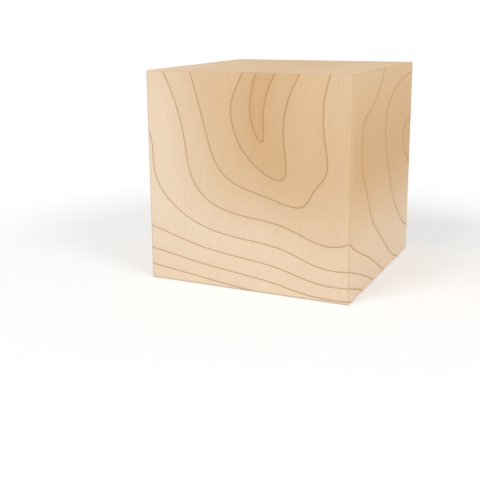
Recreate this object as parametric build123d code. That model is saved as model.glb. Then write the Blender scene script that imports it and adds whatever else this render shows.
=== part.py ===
from build123d import *

import os

# A plain wooden cube, cut from one planed stick of square section, all sizes in millimetres.
# +Z is up and runs along the grain, -Y is the front, and the origin is the middle of the bottom.

# Driving dimensions
stick_width = 50.8  # planed section, left to right
stick_depth = 50.8  # planed section, front to back
cut_height = 50.8  # length sawn off the stick
long_edge_radius = 0.6  # round planed on the four edges that run with the grain
end_edge_radius = 0.4  # lighter round sanded on the edges of both sawn ends


def planed_section():
    """The stick's section: square, with its four corners rounded by the plane."""
    return RectangleRounded(stick_width, stick_depth, long_edge_radius)


def sawn_block():
    """The piece that the saw takes off the stick, standing on one sawn end."""
    return extrude(planed_section(), amount=cut_height)


def sanded_block():
    """The block with the edges of its two ends sanded, which rounds its corners both ways."""
    block = sawn_block()
    end_faces = [block.faces().sort_by(Axis.Z)[0], block.faces().sort_by(Axis.Z)[-1]]
    end_edges = end_faces[0].edges() + end_faces[1].edges()
    return fillet(end_edges, radius=end_edge_radius)


os.makedirs("parts", exist_ok=True)
wooden_cube = sanded_block()
wooden_cube.label = "wooden_cube"
export_step(wooden_cube, "parts/wooden_cube.step")
print("wooden_cube volume", round(wooden_cube.volume), "mm3, box", wooden_cube.bounding_box())
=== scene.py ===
import math

import bpy
from mathutils import Matrix, Vector


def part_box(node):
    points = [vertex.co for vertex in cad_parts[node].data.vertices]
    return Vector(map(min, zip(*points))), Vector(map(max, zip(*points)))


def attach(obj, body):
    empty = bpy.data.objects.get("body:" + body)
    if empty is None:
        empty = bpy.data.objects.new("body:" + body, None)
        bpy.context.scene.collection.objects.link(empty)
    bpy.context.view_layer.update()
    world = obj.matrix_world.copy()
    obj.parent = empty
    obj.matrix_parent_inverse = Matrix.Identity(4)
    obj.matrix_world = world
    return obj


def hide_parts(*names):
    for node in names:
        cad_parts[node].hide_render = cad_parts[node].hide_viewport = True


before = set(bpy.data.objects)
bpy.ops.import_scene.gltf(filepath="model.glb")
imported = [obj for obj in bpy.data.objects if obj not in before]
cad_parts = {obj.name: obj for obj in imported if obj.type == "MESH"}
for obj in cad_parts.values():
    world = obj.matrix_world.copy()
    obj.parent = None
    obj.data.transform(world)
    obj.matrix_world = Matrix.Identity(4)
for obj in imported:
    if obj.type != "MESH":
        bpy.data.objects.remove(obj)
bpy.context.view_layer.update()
blockLow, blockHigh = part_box("wooden_cube")
blockSize = blockHigh - blockLow
blockFoot = Vector(((blockLow.x + blockHigh.x) / 2, (blockLow.y + blockHigh.y) / 2, blockLow.z))
mm = 0.001
print("frame loaded, block of", [round(side / mm, 2) for side in blockSize], "mm")


def srgb(red, green, blue):
    # a colour as a screen shows it, 0 to 255, made linear
    def linear(level):
        level = level / 255
        return level / 12.92 if level <= 0.04045 else ((level + 0.055) / 1.055) ** 2.4
    return (linear(red), linear(green), linear(blue), 1.0)


# Wires: a socket that can be added, multiplied and so on, in a mesh tree or a material tree

def plug(tree, value, socket):
    if isinstance(value, Wire):
        tree.links.new(value.socket, socket)
    elif value is not None:
        socket.default_value = value


def addNode(tree, kind, inputs=None, **settings):
    node = tree.nodes.new(kind)
    for name, value in settings.items():
        setattr(node, name, value)
    for name, value in (inputs or {}).items():
        plug(tree, value, node.inputs[name])
    return node


def outOf(tree, node, name=0):
    return Wire(tree, node.outputs[name])


class Wire:
    def __init__(self, tree, socket):
        self.tree = tree
        self.socket = socket

    def math(self, operation, *others):
        node = addNode(self.tree, "ShaderNodeMath", operation=operation)
        for socket, value in zip(node.inputs, (self, *others)):
            plug(self.tree, value, socket)
        return outOf(self.tree, node)

    def vector(self, operation, *others, out="Vector"):
        node = addNode(self.tree, "ShaderNodeVectorMath", operation=operation)
        for socket, value in zip(node.inputs, (self, *others)):
            plug(self.tree, value, socket)
        return outOf(self.tree, node, out)

    def scaled(self, amount):
        inputs = {"Vector": self, "Scale": amount}
        return outOf(self.tree, addNode(self.tree, "ShaderNodeVectorMath", inputs, operation="SCALE"))

    def parts(self):
        node = addNode(self.tree, "ShaderNodeSeparateXYZ", {"Vector": self})
        return [Wire(self.tree, socket) for socket in node.outputs]

    def squared(self):
        return self.math("MULTIPLY", self)

    def hill(self, middle, spread):
        # a bell curve that is 1 at the middle
        return (((self - middle) / spread).squared() * -1.0).math("EXPONENT")

    def ramp(self, low, high, kind="SMOOTHSTEP"):
        # 0 below the low end, 1 above the high end
        inputs = {"Value": self, "From Min": low, "From Max": high}
        return outOf(self.tree, addNode(self.tree, "ShaderNodeMapRange", inputs, interpolation_type=kind))

    def __add__(self, other):
        return self.math("ADD", other)

    def __sub__(self, other):
        return self.math("SUBTRACT", other)

    def __rsub__(self, other):
        return self.math("MULTIPLY", -1.0).math("ADD", other)

    def __mul__(self, other):
        return self.math("MULTIPLY", other)

    def __truediv__(self, other):
        return self.math("DIVIDE", other)


def combine(tree, x, y, z):
    return outOf(tree, addNode(tree, "ShaderNodeCombineXYZ", {"X": x, "Y": y, "Z": z}))


def mixed(tree, factor, first, second, kind="MIX"):
    # two colours mixed
    node = addNode(tree, "ShaderNodeMix", data_type="RGBA", blend_type=kind)
    sockets = {socket.identifier: socket for socket in node.inputs}
    plug(tree, factor, sockets["Factor_Float"])
    plug(tree, first, sockets["A_Color"])
    plug(tree, second, sockets["B_Color"])
    result = [socket for socket in node.outputs if socket.identifier == "Result_Color"][0]
    return Wire(tree, result)


def inputsFrom(values):
    # (name, kind of socket, default) for a dictionary of numbers
    return [(name, "NodeSocketInt" if isinstance(value, int) else "NodeSocketFloat", value)
            for name, value in values.items()]


def newGroup(name, kind, inputs, outputs):
    # inputs are (name, kind of socket, default), outputs are (name, kind of socket)
    tree = bpy.data.node_groups.new(name, kind)
    for socketName, socketKind, value in inputs:
        socket = tree.interface.new_socket(socketName, in_out="INPUT", socket_type=socketKind)
        if value is not None:
            socket.default_value = value
    for socketName, socketKind in outputs:
        tree.interface.new_socket(socketName, in_out="OUTPUT", socket_type=socketKind)
    entry = tree.nodes.new("NodeGroupInput")
    leave = tree.nodes.new("NodeGroupOutput")
    wires = {socket.name: Wire(tree, socket) for socket in entry.outputs if socket.name}
    return tree, wires, leave


def useGroup(tree, group, inputs):
    kind = "GeometryNodeGroup" if tree.bl_idname == "GeometryNodeTree" else "ShaderNodeGroup"
    node = tree.nodes.new(kind)
    node.node_tree = group
    for name, value in inputs.items():
        plug(tree, value, node.inputs[name])
    return node


def newObject(name, data):
    made = bpy.data.objects.new(name, data)
    bpy.context.scene.collection.objects.link(made)
    return made


# Growth rings. The age at a place in the wood is counted in years inwards from the bark side, which is
# front. Places run from 0 to 1: x left to right, y front to back, z bottom to top. On the front the
# rings hang in arches, tips down, along a core that swings to the right lower down. From front to back
# they grow older. The values were set one by one, and with a scratch fit and a coarse search, so that the
# lines run as they are seen to on the front and on the right-hand face.

ringFigure = {
    "coreX": 0.56,              # the core's line on the front
    "coreSwing": 0.14,          # its swing to the right
    "swingTop": 0.82,           # where it doesn't swing
    "swingLength": 1.3,         # and the length of a whole swing
    "leftLean": -0.28,          # left of the core the rings lean instead
    "leanTop": 0.8,             # where they don't lean
    "leanEdge": 0.46,           # where the lean gives way to the swing, and how softly
    "leanBlend": 0.14,
    "coreAge": 3.65,            # age on the core, at the height of the arches' tips
    "tipHeight": 0.68,
    "coreRise": 1.6,            # years gained over a block's height from there up, and how that bends
    "coreBend": -1.0,
    "ringsLeft": 5.2,           # rings over a block's width on each side of the core
    "ringsRight": 11.0,
    "tipRound": 0.04,           # how round the arches are, at the front and more towards the back
    "tipRoundDeep": 0.5,
    "tipExtra": 0.6,            # years that draw their very tips out, and over what width
    "tipWidth": 0.02,
    "footBlend": 0.12,          # how softly the foot sets in below the tips
    "footRings": 11.2,          # rings lost down the foot
    "footRound": 0.88,          # how much rounder the arches are there
    "footFade": 0.75,           # the share of the arches that fades out there, and over what height
    "footReach": 0.5,
    "depthRings": 2.6,          # rings from front to back
    "swirlDepth": 0.6,          # how deep a swirl reaches in from its face
    "frontSwirls": [            # years, x, z, width, height
        (2.5, 1.02, 0.54, 0.21, 0.42),
        (-0.7, 0.1, 0.82, 0.2, 0.47),
        (-2.0, 0.45, 1.26, 0.1, 0.28),
        (-2.2, 1.02, 0.46, 0.29, 0.24),
    ],
    "sideSwirls": [             # years, y, z, width, height
        (2.05, 1.33, 0.63, 0.39, 0.12),
        (2.3, 0.72, 0.78, 0.48, 0.23),
        (0.85, 0.09, 0.97, 0.18, 0.46),
        (3.6, 0.81, -0.09, 0.67, 0.26),
    ],
}


def buildRingGroup(figure):
    tree, wires, leave = newGroup("growthRings", "GeometryNodeTree",
                                  [("Place", "NodeSocketVector", None)], [("Age", "NodeSocketFloat")])
    x, y, z = wires["Place"].parts()

    # distance from the core, sideways
    onRight = ((x - figure["leanEdge"]) / figure["leanBlend"]).math("TANH") * 0.5 + 0.5
    turn = (z - figure["swingTop"]) * (2 * math.pi / figure["swingLength"])
    swing = (1.0 - turn.math("COSINE")) * figure["coreSwing"]
    lean = (z - figure["leanTop"]) * figure["leftLean"]
    across = x - figure["coreX"] - onRight * swing - (1.0 - onRight) * lean
    toSide = 1.0 - (swing + figure["coreX"])

    # below the tips comes the foot, where the arches open out and fade
    drop = (z - figure["tipHeight"]) * -1.0
    below = ((drop.squared() + figure["footBlend"] ** 2).math("SQRT") + drop) * 0.5
    share = below.hill(0.0, figure["footReach"]) * figure["footFade"] + (1.0 - figure["footFade"])

    # the arches, rounder with depth, but on the right-hand face as round as at the front
    tip = below * figure["footRound"] + figure["tipRound"]
    deepTip = y * figure["tipRoundDeep"] + tip
    away = (across.squared() + deepTip.squared()).math("SQRT") - deepTip
    sideSquare = toSide.squared()
    shallow = (sideSquare + tip.squared()).math("SQRT") - tip
    sink = deepTip - (sideSquare + deepTip.squared()).math("SQRT") + shallow
    extraRings = figure["ringsRight"] - figure["ringsLeft"]
    rings = across.math("GREATER_THAN", 0.0) * extraRings + figure["ringsLeft"]
    point = (away / -figure["tipWidth"]).math("EXPONENT") - 1.0

    # along the core, sideways, and from front to back
    age = figure["coreAge"] - drop * figure["coreRise"] + drop.squared() * figure["coreBend"]
    age = age - below.squared() * figure["footRings"]
    age = age + share * (point * figure["tipExtra"] - rings * away - sink * figure["ringsRight"])
    age = age + y * figure["depthRings"]

    # swirls
    frontFade = y.hill(0.0, figure["swirlDepth"])
    sideFade = x.hill(1.0, figure["swirlDepth"])
    for years, middleX, middleZ, width, height in figure["frontSwirls"]:
        age = age + frontFade * x.hill(middleX, width) * z.hill(middleZ, height) * years
    for years, middleY, middleZ, width, height in figure["sideSwirls"]:
        age = age + sideFade * y.hill(middleY, width) * z.hill(middleZ, height) * years
    plug(tree, age, leave.inputs["Age"])
    return tree


# Heartwood: its share grows with the age, but towards the right-hand face it is a band across it instead

heartFigure = {
    "oldAge": 4.2,              # the age at which the wood is all heartwood
    "restShare": 0.08,          # heartwood far above and below the band
    "bandShare": 0.86,          # and how much more there is in its middle
    "bandHeight": 0.6,
    "bandBelow": 0.33,          # how it spreads downwards and upwards
    "bandAbove": 0.62,
    "bandDepth": 0.5,           # how deep it reaches in from the right-hand face
    "bandStart": 0.06,          # it fades out through the front's skin
}


def buildHeartGroup(figure):
    tree, wires, leave = newGroup("heartwood", "GeometryNodeTree",
                                  [("Place", "NodeSocketVector", None), ("Age", "NodeSocketFloat", 0.0)],
                                  [("Heart", "NodeSocketFloat")])
    x, y, z = wires["Place"].parts()
    byAge = wires["Age"].ramp(0.0, figure["oldAge"], "LINEAR")
    lower = z.math("MINIMUM", figure["bandHeight"]).hill(figure["bandHeight"], figure["bandBelow"])
    upper = z.math("MAXIMUM", figure["bandHeight"]).hill(figure["bandHeight"], figure["bandAbove"])
    band = lower * upper * figure["bandShare"] + figure["restShare"]
    inBand = x.hill(1.0, figure["bandDepth"]) * y.ramp(-figure["bandStart"], figure["bandStart"])
    plug(tree, byAge + (band - byAge) * inBand, leave.inputs["Heart"])
    return tree


# The block: a grid over a box, bent round at the edges as the plane and the sander leave them

blockShape = {
    "Long Edge Radius": 0.6 * mm,   # the four edges along the grain
    "End Edge Radius": 0.4 * mm,    # the edges of the two sawn ends
    "Face Steps": 104,              # grid steps over the flat of a face
    "Edge Steps": 6,                # and round each edge, from the flat to the corner
    "Washboard": 0.02 * mm,         # the soft early wood sands away a little deeper
    "Waviness": 0.03 * mm,          # and no sanded face is dead flat
    "Wave Spread": 16 * mm,
    "Depth Share": 2.0,             # rings crossed from front to back show twice as wide
    "Seed": 11,
}


def buildCornerGroup():
    # two shares of an edge's round, 0 to 1 each, bent from a square corner to a quarter circle
    tree, wires, leave = newGroup("cornerRound", "GeometryNodeTree",
                                  [("A", "NodeSocketFloat", 0.0), ("B", "NodeSocketFloat", 0.0)],
                                  [("A", "NodeSocketFloat"), ("B", "NodeSocketFloat")])
    first, second = wires["A"], wires["B"]
    leastLength = 1e-6              # on the flat, where both shares are 0
    length = (first.squared() + second.squared()).math("SQRT").math("MAXIMUM", leastLength)
    pull = first.math("MAXIMUM", second) / length
    plug(tree, first * pull, leave.inputs["A"])
    plug(tree, second * pull, leave.inputs["B"])
    return tree


def spreadSteps(steps, flatHalf, flatSteps, edge, edgeSteps):
    # distance from a face's middle for a number of grid steps, even on the flat and even on the edge
    onFlat = steps.math("MINIMUM", flatSteps) / flatSteps * flatHalf
    onEdge = (steps - flatSteps).math("MAXIMUM", 0.0) / edgeSteps * edge
    return onFlat + onEdge


def store(tree, geometry, name, kind, domain, value):
    node = addNode(tree, "GeometryNodeStoreNamedAttribute", data_type=kind, domain=domain)
    plug(tree, geometry, node.inputs["Geometry"])
    node.inputs["Name"].default_value = name
    plug(tree, value, node.inputs["Value"])
    return outOf(tree, node)


def faceMap(tree, place, normal):
    # each face gets a cell of a map three wide and two high, and the sides' grain runs along their cells
    cellsWide, cellsHigh = 3.0, 2.0
    margin = 0.012                  # a bare strip round each cell
    nx, ny, nz = normal.parts()
    px, py, pz = place.parts()
    onX, onY, onZ = nx.math("ABSOLUTE"), ny.math("ABSOLUTE"), nz.math("ABSOLUTE")
    facing = nx + ny + nz
    along = pz * (onX + onY) + py * onZ
    across = (px * onY - py * onX - px * onZ) * facing
    column = onY + onZ * 2.0
    row = facing * 0.5 + 0.5
    u = (column + along * (0.5 - margin) + 0.5) / cellsWide
    v = (row + across * (0.5 - margin) + 0.5) / cellsHigh
    return combine(tree, u, v, 0.0)


def buildGrid(tree, halfSteps, place, normal):
    # a square-cornered grid from -1 to 1 each way, and its map
    grid = addNode(tree, "GeometryNodeMeshCube", {"Size": (2.0, 2.0, 2.0)})
    for name in ("Vertices X", "Vertices Y", "Vertices Z"):
        plug(tree, halfSteps * 2.0 + 1.0, grid.inputs[name])
    onFace = addNode(tree, "GeometryNodeFieldOnDomain", data_type="FLOAT_VECTOR", domain="FACE")
    plug(tree, normal, onFace.inputs[0])
    cells = faceMap(tree, place, outOf(tree, onFace))
    return store(tree, outOf(tree, grid), "OFBake", "FLOAT2", "CORNER", cells)


def easeEdges(tree, wires, place, flatSteps, edgeSteps):
    # where each point of the grid stands on the block, and how far it is into an edge's round
    corner = buildCornerGroup()
    halfSteps = flatSteps + edgeSteps
    longEdge, endEdge = wires["Long Edge Radius"], wires["End Edge Radius"]
    halfX, halfY, halfZ = wires["Size"].scaled(0.5).parts()
    px, py, pz = place.parts()

    # grid steps to distances from the middle, finer on the edges
    stepsX, stepsY, stepsZ = [part.math("ABSOLUTE") * halfSteps for part in (px, py, pz)]
    coreX, coreY, coreZ = halfX - longEdge, halfY - longEdge, halfZ - endEdge
    farX = spreadSteps(stepsX, coreX, flatSteps, longEdge, edgeSteps)
    farY = spreadSteps(stepsY, coreY, flatSteps, longEdge, edgeSteps)
    farZ = spreadSteps(stepsZ, coreZ, flatSteps, endEdge, edgeSteps)

    # the section's corners, rounded by the plane
    edgeX = (farX - coreX).math("MAXIMUM", 0.0) / longEdge
    edgeY = (farY - coreY).math("MAXIMUM", 0.0) / longEdge
    planed = useGroup(tree, corner, {"A": edgeX, "B": edgeY})
    reach = edgeX.math("MAXIMUM", edgeY) * longEdge

    # the ends' edges, rounded by the sander, which pulls the section in
    inner = longEdge - endEdge
    endOut = (reach - inner).math("MAXIMUM", 0.0) / endEdge
    endUp = (farZ - coreZ).math("MAXIMUM", 0.0) / endEdge
    sanded = useGroup(tree, corner, {"A": endOut, "B": endUp})
    newReach = reach.math("MINIMUM", inner) + outOf(tree, sanded, "A") * endEdge
    leastReach = 1e-7               # on the flat, where the reach is 0
    pull = newReach / reach.math("MAXIMUM", leastReach) * longEdge

    # back to both sides of the middle
    newX = farX.math("MINIMUM", coreX) + outOf(tree, planed, "A") * pull
    newY = farY.math("MINIMUM", coreY) + outOf(tree, planed, "B") * pull
    newZ = farZ.math("MINIMUM", coreZ) + outOf(tree, sanded, "B") * endEdge
    signX, signY, signZ = [part.math("SIGN") for part in (px, py, pz)]
    shaped = combine(tree, newX * signX, newY * signY, newZ * signZ + halfZ)
    edgeShare = edgeX.math("MINIMUM", edgeY).math("MAXIMUM", endOut.math("MINIMUM", endUp))
    return shaped, edgeShare


def growWood(tree, wires, block, place, normal, ringGroup, heartGroup):
    # the wood's age at each point, how many rings a metre of the surface crosses there, and its heartwood
    unit = place.vector("SUBTRACT", wires["Foot"]).vector("DIVIDE", wires["Size"])
    unit = unit.vector("ADD", (0.5, 0.5, 0.0))
    age = outOf(tree, useGroup(tree, ringGroup, {"Place": unit}))
    nudge = 0.002                   # in block widths
    slopes = []
    for step in ((nudge, 0, 0), (0, nudge, 0), (0, 0, nudge)):
        beside = useGroup(tree, ringGroup, {"Place": unit.vector("ADD", step)})
        slopes.append((outOf(tree, beside) - age) / nudge)
    slope = combine(tree, *slopes).vector("DIVIDE", wires["Size"])
    shares = (1.0, wires["Depth Share"], 1.0)
    slope = combine(tree, *[part * share for part, share in zip(slope.parts(), shares)])
    throughFace = slope.vector("DOT_PRODUCT", normal, out="Value")
    alongFace = slope.vector("SUBTRACT", normal.scaled(throughFace)).vector("LENGTH", out="Value")
    heart = outOf(tree, useGroup(tree, heartGroup, {"Place": unit, "Age": age}))
    block = store(tree, block, "ringAge", "FLOAT", "POINT", age)
    block = store(tree, block, "ringSlope", "FLOAT", "POINT", alongFace)
    block = store(tree, block, "heartShare", "FLOAT", "POINT", heart)
    return block, age


def addRelief(tree, wires, block, place, normal, age):
    # a slight relief, always into the wood
    earlyWood = 0.5 - (age * (2 * math.pi)).math("COSINE") * 0.5
    waves = addNode(tree, "ShaderNodeTexNoise", {"Vector": place, "Detail": 1.0}, noise_dimensions="4D")
    plug(tree, wires["Seed"], waves.inputs["W"])
    plug(tree, wires["Wave Spread"].math("POWER", -1.0), waves.inputs["Scale"])
    dip = earlyWood * wires["Washboard"] + outOf(tree, waves) * wires["Waviness"]
    offset = normal.scaled(dip * -1.0)
    return outOf(tree, addNode(tree, "GeometryNodeSetPosition", {"Geometry": block, "Offset": offset}))


def buildBlockTree(shape, ringGroup, heartGroup):
    inputs = [("Size", "NodeSocketVector", None), ("Foot", "NodeSocketVector", None), *inputsFrom(shape),
              ("Side Wood", "NodeSocketMaterial", None), ("End Wood", "NodeSocketMaterial", None)]
    tree, wires, leave = newGroup("woodenBlock", "GeometryNodeTree", inputs,
                                  [("Block", "NodeSocketGeometry")])
    place = outOf(tree, addNode(tree, "GeometryNodeInputPosition"))
    normal = outOf(tree, addNode(tree, "GeometryNodeInputNormal"))
    flatSteps, edgeSteps = wires["Face Steps"] * 0.5, wires["Edge Steps"]
    block = buildGrid(tree, flatSteps + edgeSteps, place, normal)
    shaped, edgeShare = easeEdges(tree, wires, place, flatSteps, edgeSteps)
    block = store(tree, block, "edgeShare", "FLOAT", "POINT", edgeShare)
    moved = addNode(tree, "GeometryNodeSetPosition",
                    {"Geometry": block, "Position": shaped.vector("ADD", wires["Foot"])})
    block, age = growWood(tree, wires, outOf(tree, moved), place, normal, ringGroup, heartGroup)
    block = addRelief(tree, wires, block, place, normal, age)

    # smooth shading, real geometry, and a material for the sides and for the sawn ends
    smooth = addNode(tree, "GeometryNodeSetShadeSmooth", {"Geometry": block})
    real = addNode(tree, "GeometryNodeRealizeInstances", {"Geometry": outOf(tree, smooth)})
    sides = addNode(tree, "GeometryNodeSetMaterial",
                    {"Geometry": outOf(tree, real), "Material": wires["Side Wood"]})
    ends = addNode(tree, "GeometryNodeSetMaterial",
                   {"Geometry": outOf(tree, sides), "Material": wires["End Wood"]})
    endTilt = math.radians(45)      # an end goes on to the middle of its edges' round
    onEnd = normal.parts()[2].math("ABSOLUTE").math("GREATER_THAN", math.cos(endTilt))
    plug(tree, onEnd, ends.inputs["Selection"])
    plug(tree, outOf(tree, ends), leave.inputs["Block"])
    return tree


# Wood finishes

sideWood = {
    "youngColour": srgb(236, 214, 188),     # pale sapwood, at the bark side
    "oldColour": srgb(209, 170, 123),       # tan heartwood
    "lineColour": srgb(170, 121, 46),       # the dark last growth of each year
    "lineStrength": 0.72,
    "lateStrength": 0.08,
    "fibreStrength": 0.05,
    "poreStrength": 0.16,
    "edgeStrength": 0.32,                   # the eased edges are a shade darker
    "roughness": 0.62,
    "streakRoughness": 0.2,                 # streaks vary it, pores add to it, dense lines are smoother
    "poreRoughness": 0.1,
    "lineSmoothness": 0.08,
    "gloss": 0.15,                          # bare wood has little shine
    "relief": 0.05 * mm,
    "reliefStrength": 0.6,
    "lineHeight": 0.6,                      # the dense lines stand up in it
}

endWood = dict(sideWood)
endWood.update({
    "youngColour": srgb(233, 208, 180),
    "oldColour": srgb(218, 185, 145),
    "lineStrength": 0.2,
    "lateStrength": 0.05,
    "fibreStrength": 0.06,
    "poreStrength": 0.12,
    "roughness": 0.68,
})

ringLine = {
    "Line Width": 0.22 * mm,
    "Sharp Share": 0.35,        # towards the bark a line ends sharply, in this share of its width
    "Fade Width": 1.6 * mm,
    "Least Slope": 24.0,        # rings a metre, so that a ring lying flat in a face doesn't spread out
}

sideFibre = {
    "Fibre Length": 9 * mm,
    "Fibre Width": 0.35 * mm,
    "Pore Length": 2.4 * mm,
    "Pore Width": 0.16 * mm,
}

endFibre = {                    # cut across
    "Fibre Length": 0.5 * mm,
    "Fibre Width": 0.5 * mm,
    "Pore Length": 0.24 * mm,
    "Pore Width": 0.24 * mm,
}


def buildLineGroup(line):
    inputs = [("Age", "NodeSocketFloat", 0.0), ("Slope", "NodeSocketFloat", 0.0), *inputsFrom(line)]
    tree, wires, leave = newGroup("growthLines", "ShaderNodeTree", inputs,
                                  [("Line", "NodeSocketFloat"), ("Late Wood", "NodeSocketFloat")])
    slope = wires["Slope"].math("MAXIMUM", wires["Least Slope"])
    inside = wires["Age"].math("FRACT")
    past = inside / slope
    before = (1.0 - inside) / slope
    sharpWidth = wires["Line Width"] * wires["Sharp Share"]
    sharpSide = ((before / sharpWidth).squared() * -1.0).math("EXPONENT")
    softSide = ((past / wires["Line Width"]).squared() * -1.0).math("EXPONENT")
    plug(tree, sharpSide.math("MAXIMUM", softSide), leave.inputs["Line"])
    plug(tree, (past / wires["Fade Width"] * -1.0).math("EXPONENT"), leave.inputs["Late Wood"])
    return tree


def noise(tree, place, detail, roughness=0.5):
    inputs = {"Vector": place, "Scale": 1.0, "Detail": detail, "Roughness": roughness}
    return outOf(tree, addNode(tree, "ShaderNodeTexNoise", inputs), "Fac")


def buildFibreGroup(fibre):
    tree, wires, leave = newGroup("woodFibre", "ShaderNodeTree",
                                  [("Place", "NodeSocketVector", None), *inputsFrom(fibre)],
                                  [("Streak", "NodeSocketFloat"), ("Pore", "NodeSocketFloat"),
                                   ("Cloud", "NodeSocketFloat"), ("Height", "NodeSocketFloat")])
    x, y, z = wires["Place"].parts()

    def stretched(length, width):
        return combine(tree, x / width, y / width, z / length)

    poreFrom, poreTo = 0.66, 0.78           # the levels of the noise where a pore begins and is full
    cloudLength, cloudWidth = 3.0, 16.0     # in lengths and widths of a fibre
    streakHeight = 0.5                      # a pore is 1 deep
    streak = noise(tree, stretched(wires["Fibre Length"], wires["Fibre Width"]), 3.0, roughness=0.6)
    pore = noise(tree, stretched(wires["Pore Length"], wires["Pore Width"]), 1.0).ramp(poreFrom, poreTo)
    cloudPlace = stretched(wires["Fibre Length"] * cloudLength, wires["Fibre Width"] * cloudWidth)
    plug(tree, streak, leave.inputs["Streak"])
    plug(tree, pore, leave.inputs["Pore"])
    plug(tree, noise(tree, cloudPlace, 2.0), leave.inputs["Cloud"])
    plug(tree, streak * streakHeight - pore, leave.inputs["Height"])
    return tree


lineGroup = buildLineGroup(ringLine)
fibreGroup = buildFibreGroup(sideFibre)


def attribute(tree, name):
    return outOf(tree, addNode(tree, "ShaderNodeAttribute", attribute_name=name), "Fac")


def buildWood(name, look, fibreSizes):
    material = bpy.data.materials.new(name)
    material.use_nodes = True
    tree = material.node_tree
    shader = tree.nodes["Principled BSDF"]
    growth = {"Age": attribute(tree, "ringAge"), "Slope": attribute(tree, "ringSlope")}
    lines = useGroup(tree, lineGroup, {**growth, **ringLine})
    place = outOf(tree, addNode(tree, "ShaderNodeTexCoord"), "Object")
    fibre = useGroup(tree, fibreGroup, {"Place": place, **fibreSizes})
    line, late = outOf(tree, lines, "Line"), outOf(tree, lines, "Late Wood")
    streak, pore, cloud = [outOf(tree, fibre, part) for part in ("Streak", "Pore", "Cloud")]

    # pale to tan with age, then fibres, late wood, pores, eased edges and the ring lines
    colour = mixed(tree, attribute(tree, "heartShare"), look["youngColour"], look["oldColour"])
    tone = (streak - 0.5) * (2 * look["fibreStrength"]) + (cloud - 0.5) * look["fibreStrength"] + 1.0
    colour = mixed(tree, 1.0, colour, combine(tree, tone, tone, tone), "MULTIPLY")
    dark = late * look["lateStrength"] + pore * look["poreStrength"]
    dark = dark + attribute(tree, "edgeShare") * look["edgeStrength"]
    dark = dark.math("MAXIMUM", line * look["lineStrength"])
    colour = mixed(tree, dark, colour, look["lineColour"])
    plug(tree, colour, shader.inputs["Base Color"])

    # roughness and relief
    roughness = (streak - 0.5) * look["streakRoughness"] + pore * look["poreRoughness"]
    roughness = roughness - line * look["lineSmoothness"] + look["roughness"]
    plug(tree, roughness, shader.inputs["Roughness"])
    height = outOf(tree, fibre, "Height") + line * look["lineHeight"]
    bump = addNode(tree, "ShaderNodeBump",
                   {"Strength": look["reliefStrength"], "Distance": look["relief"], "Height": height})
    plug(tree, outOf(tree, bump), shader.inputs["Normal"])
    shader.inputs["Specular IOR Level"].default_value = look["gloss"]
    return material


sideMaterial = buildWood("planedSideGrain", sideWood, sideFibre)
endMaterial = buildWood("sandedEndGrain", endWood, endFibre)
print("wood materials made")


# The block itself

def plainMesh(name, tree, values):
    # runs a Geometry Nodes tree and keeps its result as a plain mesh
    carrier = newObject(name + "Carrier", bpy.data.meshes.new(name + "Carrier"))
    modifier = carrier.modifiers.new("shape", "NODES")
    modifier.node_group = tree
    for item in tree.interface.items_tree:
        if item.in_out == "INPUT" and item.name in values:
            modifier[item.identifier] = values[item.name]
    evaluated = carrier.evaluated_get(bpy.context.evaluated_depsgraph_get())
    mesh = bpy.data.meshes.new_from_object(evaluated)
    carrier.modifiers.clear()
    bpy.data.objects.remove(carrier)
    if not mesh.materials[0]:
        mesh.materials.pop(index=0)     # the empty slot goes, and each face keeps its material
    mesh.name = name
    return newObject(name, mesh)


blockTree = buildBlockTree(blockShape, buildRingGroup(ringFigure), buildHeartGroup(heartFigure))
blockInputs = {**blockShape, "Size": blockSize, "Foot": blockFoot,
               "Side Wood": sideMaterial, "End Wood": endMaterial}
woodBlock = plainMesh("solid_wood_cube", blockTree, blockInputs)
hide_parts("wooden_cube")
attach(woodBlock, "root")
print("block made,", len(woodBlock.data.polygons), "faces,", [m.name for m in woodBlock.data.materials],
      sorted({face.material_index for face in woodBlock.data.polygons}))


# Floor, light and camera

stagePlan = {
    "floorSide": 160,           # in block widths
    "clearFrom": 0.8,           # between these distances, too, the floor turns to plain white
    "clearTo": 2.4,
    "leastClear": 0.3,          # and the share of plain white near the block
    "floorColour": srgb(240, 239, 237),
    "whiteColour": srgb(255, 255, 255),
}

lightPlan = {
    "skyColour": srgb(255, 255, 255),
    "skyStrength": 0.58,
    "lamps": [                  # name, place and width in block widths, strength at the block
        ("keyLamp", (-4.0, -9.0, 11.0), 7.0, 0.33),
        ("sideLamp", (11.0, -5.0, 6.0), 7.0, 0.36),
    ],
}


def seenByEye(tree):
    # 1 for rays that show a surface, straight on, reflected or through glass, and 0 for those that light
    path = addNode(tree, "ShaderNodeLightPath")
    straight, glossy, clear = [outOf(tree, path, name) for name in
                               ("Is Camera Ray", "Is Glossy Ray", "Is Transmission Ray")]
    return straight.math("MAXIMUM", glossy).math("MAXIMUM", clear)


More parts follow.
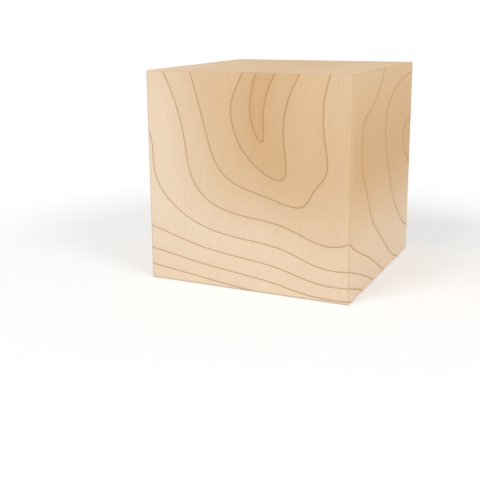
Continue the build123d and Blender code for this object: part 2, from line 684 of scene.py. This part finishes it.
def buildFloor(plan):
    half = blockSize.x * plan["floorSide"] / 2
    mesh = bpy.data.meshes.new("paleFloor")
    corners = [(-half, -half), (half, -half), (half, half), (-half, half)]
    mesh.from_pydata([(x, y, blockLow.z) for x, y in corners], [], [(0, 1, 2, 3)])
    floor = newObject("paleFloor", mesh)
    material = bpy.data.materials.new("paleFloor")
    material.use_nodes = True
    tree = material.node_tree
    tree.nodes.clear()
    seen = seenByEye(tree)
    place = outOf(tree, addNode(tree, "ShaderNodeTexCoord"), "Object")
    distance = place.vector("LENGTH", out="Value") / blockSize.x
    colour = mixed(tree, seen, plan["floorColour"], plan["whiteColour"])
    matte = addNode(tree, "ShaderNodeBsdfDiffuse", {"Color": colour})
    white = addNode(tree, "ShaderNodeEmission", {"Color": plan["whiteColour"], "Strength": 1.0})
    share = distance.ramp(plan["clearFrom"], plan["clearTo"]).math("MAXIMUM", plan["leastClear"]) * seen
    blend = addNode(tree, "ShaderNodeMixShader")
    plug(tree, share, blend.inputs[0])
    tree.links.new(matte.outputs[0], blend.inputs[1])
    tree.links.new(white.outputs[0], blend.inputs[2])
    output = addNode(tree, "ShaderNodeOutputMaterial")
    tree.links.new(blend.outputs[0], output.inputs["Surface"])
    mesh.materials.append(material)


def buildSky(colour, strength):
    # white to the eye, and dimmer as a light
    world = bpy.data.worlds.new("paleStudio")
    world.use_nodes = True
    tree = world.node_tree
    tree.nodes.clear()
    level = seenByEye(tree) * (1.0 - strength) + strength
    sky = addNode(tree, "ShaderNodeBackground", {"Color": colour, "Strength": level})
    output = addNode(tree, "ShaderNodeOutputWorld")
    tree.links.new(sky.outputs[0], output.inputs["Surface"])
    bpy.context.scene.world = world


def addLamp(name, place, width, strength, target):
    lamp = bpy.data.lights.new(name, "AREA")
    lamp.shape = "DISK"
    lamp.size = width * blockSize.x
    where = Vector(place) * blockSize.x
    reach = (target - where).length
    lamp.energy = strength * math.pi ** 2 * reach ** 2  # watts, for that strength on a face turned to it
    turn = (target - where).to_track_quat("-Z", "Y").to_matrix().to_4x4()
    newObject(name, lamp).matrix_world = Matrix.Translation(where) @ turn


cameraPlan = {
    "eye": (1.532, -3.730, 1.240),      # in block widths, from the middle of the bottom
    "azimuth": 25.68,                   # degrees
    "pitch": 12.88,
    "roll": -0.53,
    "focalPixels": 813,
    "imagePixels": 480,
    "sensor": 36,                       # mm
    "shiftY": -0.08,
    "clipStart": 10 * mm,
}


def buildCamera(plan):
    azimuth, pitch, roll = [math.radians(plan[key]) for key in ("azimuth", "pitch", "roll")]
    back = Vector((math.sin(azimuth) * math.cos(pitch),
                   -math.cos(azimuth) * math.cos(pitch),
                   math.sin(pitch)))
    right = Vector((math.cos(azimuth), math.sin(azimuth), 0))
    up = back.cross(right)
    rolledRight = right * math.cos(roll) + up * math.sin(roll)
    rolledUp = up * math.cos(roll) - right * math.sin(roll)
    camera = bpy.data.cameras.new("photoCamera")
    camera.sensor_width = plan["sensor"]
    camera.lens = plan["sensor"] * plan["focalPixels"] / plan["imagePixels"]
    camera.shift_y = plan["shiftY"]
    camera.clip_start = plan["clipStart"]
    holder = newObject("photoCamera", camera)
    turn = Matrix((rolledRight, rolledUp, back)).transposed().to_4x4()
    eye = blockFoot + Vector(plan["eye"]) * blockSize.x
    holder.matrix_world = Matrix.Translation(eye) @ turn
    bpy.context.scene.camera = holder


buildFloor(stagePlan)
buildSky(lightPlan["skyColour"], lightPlan["skyStrength"])
blockMiddle = (blockLow + blockHigh) / 2
for name, place, width, strength in lightPlan["lamps"]:
    addLamp(name, place, width, strength, blockMiddle)
buildCamera(cameraPlan)
bpy.context.scene.view_settings.view_transform = "Standard"
print("stage, lamps and camera set")
